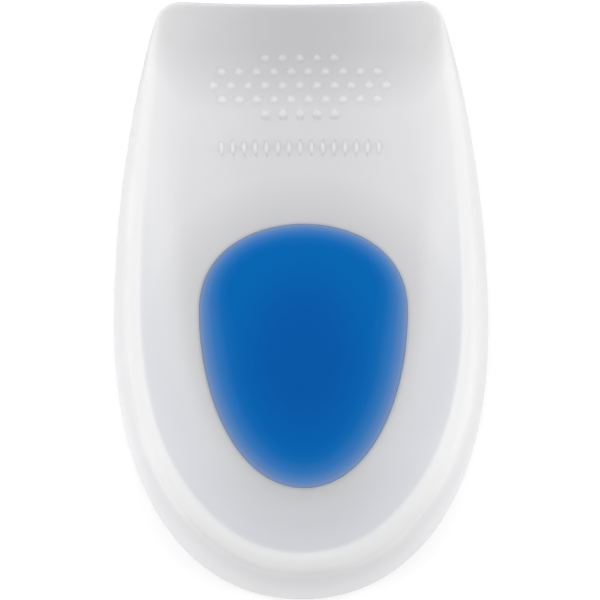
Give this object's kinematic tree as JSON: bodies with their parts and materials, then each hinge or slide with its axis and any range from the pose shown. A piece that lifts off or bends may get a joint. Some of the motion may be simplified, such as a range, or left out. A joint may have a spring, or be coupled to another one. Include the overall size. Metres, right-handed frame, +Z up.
{
  "type": "heel cup",
  "caption": "Soft silicone heel cup with a raised rim that fades towards a thin front edge, and a soft gel insert let into the heel seat.",
  "frame": {"origin": "under the middle of the cup's length and width, on the plane of its flat base", "axes": "+Y along the cup from heel to toe, +X to the right seen from above with the toe up, +Z up out of the cup"},
  "size_m": [0.065, 0.104, 0.017],
  "materials": {
    "silicone": "frosted, slightly translucent silicone with a soft satin surface",
    "blue_gel": "satin soft gel, clouded towards its edge"
  },
  "bodies": {
    "root": {"cup_body": "silicone", "soft_insert": "blue_gel"}
  },
  "joints": []
}
